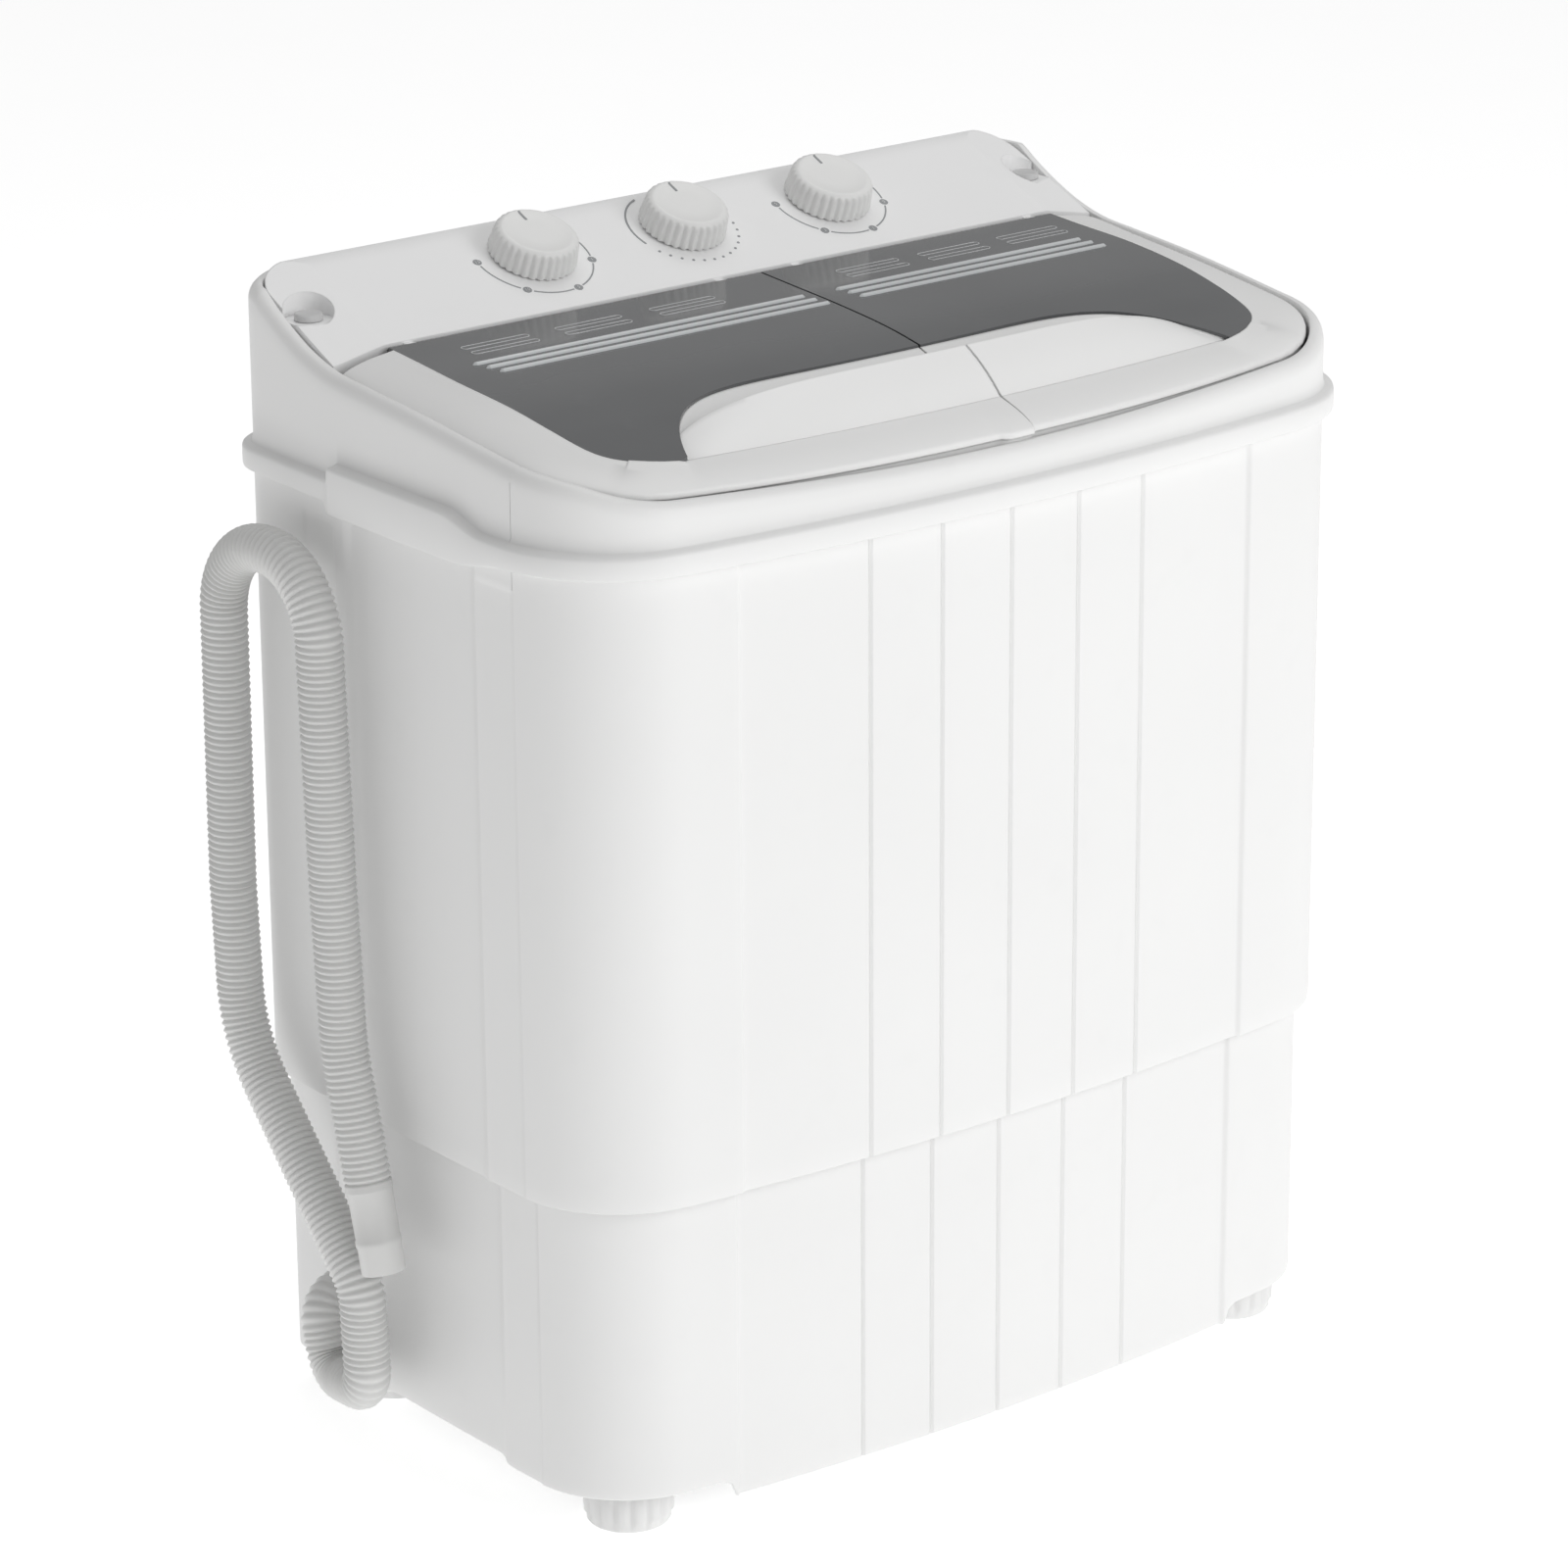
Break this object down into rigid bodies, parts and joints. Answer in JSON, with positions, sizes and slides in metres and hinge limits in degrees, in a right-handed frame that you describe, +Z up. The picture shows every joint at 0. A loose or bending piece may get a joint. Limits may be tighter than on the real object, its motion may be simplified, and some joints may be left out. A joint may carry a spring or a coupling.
{
  "type": "portable twin tub washing machine",
  "caption": "Compact twin-tub washer: two smoked hinged lids over a wash tub and a spin basket, sloped console with dials, two-tier bowed housing, side drain hose, screw feet.",
  "frame": {"origin": "on the floor, under the middle of the housing plan, which is also the middle of the bounding box: the hose on the left and the plug on the right stand out equally", "axes": "+Z up, +X to the right seen from the front, +Y towards the console and the back; the wash tub is on the -X side"},
  "size_m": [0.656, 0.3628, 0.6976],
  "materials": {
    "white_shell": "satin",
    "console_white": "satin",
    "handle_white": "gloss",
    "smoked_window": "gloss",
    "knob_white": "satin",
    "cap_grey": "satin",
    "back_panel": "matte",
    "screw_steel": "satin",
    "shaft_steel": "ground",
    "timer_body": "matte",
    "tub_white": "satin",
    "bronze": "oiled",
    "pulsator_grey": "satin",
    "basket_white": "satin",
    "pulley_black": "matte",
    "pulley_aluminium": "cast",
    "belt_rubber": "matte",
    "mount_rubber": "matte",
    "motor_steel": "matte",
    "plate_zinc": "zinc plated",
    "drum_iron": "cast",
    "pipe_grey": "matte",
    "capacitor_black": "satin",
    "hose_grey": "satin",
    "cuff_grey": "satin",
    "foot_white": "satin",
    "cord_grey": "satin"
  },
  "bodies": {
    "housing": {"back_cover": "back_panel", "back_cover_screws": "screw_steel", "base_housing": "white_shell", "bearing_housing": "tub_white", "body_shell": "white_shell", "brake_post": "shaft_steel", "console_panel": "console_white", "console_screw_caps": "cap_grey", "cord_gland": "cord_grey", "drain_hose": "hose_grey", "drain_pipe": "pipe_grey", "drain_valve_housing": "pipe_grey", "drive_belt": "belt_rubber", "hose_clamp": "plate_zinc", "hose_cuff": "cuff_grey", "lid_hinge_pins": "screw_steel", "lint_filter": "pulsator_grey", "overflow_column": "tub_white", "power_cord": "cord_grey", "power_plug": "cord_grey", "run_capacitors": "capacitor_black", "shaft_bushes": "bronze", "spin_bellows": "mount_rubber", "spin_motor": "motor_steel", "spin_motor_mounts": "mount_rubber", "spin_timer": "timer_body", "spin_tub": "tub_white", "top_cover": "white_shell", "wash_motor": "motor_steel", "wash_motor_mounts": "mount_rubber", "wash_motor_plate": "plate_zinc", "wash_timer": "timer_body", "wash_tub": "tub_white"},
    "wash_lid": {"wash_lid_frame": "white_shell", "wash_lid_window": "smoked_window", "wash_lid_handle": "handle_white"},
    "spin_lid": {"spin_lid_frame": "white_shell", "spin_lid_window": "smoked_window", "spin_lid_handle": "handle_white"},
    "wash_timer_dial": {"wash_timer_knob": "knob_white", "wash_timer_shaft": "shaft_steel"},
    "selector_dial": {"wash_selector_knob": "knob_white", "selector_shaft": "shaft_steel"},
    "spin_timer_dial": {"spin_timer_knob": "knob_white", "spin_timer_shaft": "shaft_steel"},
    "pulsator_drive": {"pulsator": "pulsator_grey", "pulsator_shaft": "shaft_steel", "pulsator_pulley": "pulley_black"},
    "wash_rotor": {"wash_motor_shaft": "shaft_steel", "motor_pulley": "pulley_aluminium"},
    "spin_drive": {"spin_basket": "basket_white", "spin_press_cover": "basket_white", "spin_shaft": "shaft_steel", "brake_drum": "drum_iron"},
    "brake": {"brake_lever": "pulley_black"},
    "drain": {"drain_plug": "pipe_grey"},
    "front_left_foot": {"foot_front_left": "foot_white"},
    "front_right_foot": {"foot_front_right": "foot_white"},
    "back_left_foot": {"foot_back_left": "foot_white"},
    "back_right_foot": {"foot_back_right": "foot_white"}
  },
  "joints": [
    {"name": "wash_lid_hinge", "type": "hinge", "parent": "housing", "child": "wash_lid", "pos_m": [-0.118, 0.078, 0.648], "axis": [-1, 0, 0], "range_deg": [0, 100]},
    {"name": "spin_lid_hinge", "type": "hinge", "parent": "housing", "child": "spin_lid", "pos_m": [0.1385, 0.078, 0.648], "axis": [-1, 0, 0], "range_deg": [0, 100]},
    {"name": "wash_timer_turn", "type": "hinge", "parent": "housing", "child": "wash_timer_dial", "pos_m": [-0.1075, 0.1285, 0.6721], "axis": [0, 0.3939, -0.9191], "range_deg": [0, 300]},
    {"name": "selector_turn", "type": "hinge", "parent": "housing", "child": "selector_dial", "pos_m": [0.0015, 0.1285, 0.6721], "axis": [0, 0.3939, -0.9191], "range_deg": [0, 90]},
    {"name": "spin_timer_turn", "type": "hinge", "parent": "housing", "child": "spin_timer_dial", "pos_m": [0.1105, 0.1285, 0.6721], "axis": [0, 0.3939, -0.9191], "range_deg": [0, 300]},
    {"name": "pulsator_spin", "type": "hinge", "parent": "housing", "child": "pulsator_drive", "pos_m": [-0.131, 0, 0.26], "axis": [0, 0, 1], "continuous": true},
    {"name": "wash_motor_spin", "type": "hinge", "parent": "housing", "child": "wash_rotor", "pos_m": [-0.041, -0.08, 0.12], "axis": [0, 0, 1], "continuous": true},
    {"name": "basket_spin", "type": "hinge", "parent": "housing", "child": "spin_drive", "pos_m": [0.15, -0.036, 0.3], "axis": [0, 0, 1], "continuous": true},
    {"name": "brake_swing", "type": "hinge", "parent": "housing", "child": "brake", "pos_m": [0.208, -0.07, 0.186], "axis": [0, 0, 1], "range_deg": [0, 5.5]},
    {"name": "drain_lift", "type": "slide", "parent": "housing", "child": "drain", "axis": [0, 0, 1], "range_m": [0, 0.0078]},
    {"name": "front_left_foot_screw", "type": "slide", "parent": "housing", "child": "front_left_foot", "axis": [0, 0, -1], "range_m": [0, 0.006]},
    {"name": "front_right_foot_screw", "type": "slide", "parent": "housing", "child": "front_right_foot", "axis": [0, 0, -1], "range_m": [0, 0.006]},
    {"name": "back_left_foot_screw", "type": "slide", "parent": "housing", "child": "back_left_foot", "axis": [0, 0, -1], "range_m": [0, 0.006]},
    {"name": "back_right_foot_screw", "type": "slide", "parent": "housing", "child": "back_right_foot", "axis": [0, 0, -1], "range_m": [0, 0.006]}
  ],
  "couplings": [
    {"joint": "wash_motor_spin", "follows": "pulsator_spin", "ratio": 7},
    {"joint": "brake_swing", "follows": "spin_lid_hinge", "ratio": 0.05},
    {"joint": "selector_turn", "follows": "drain_lift", "rad_per_m": 200}
  ]
}
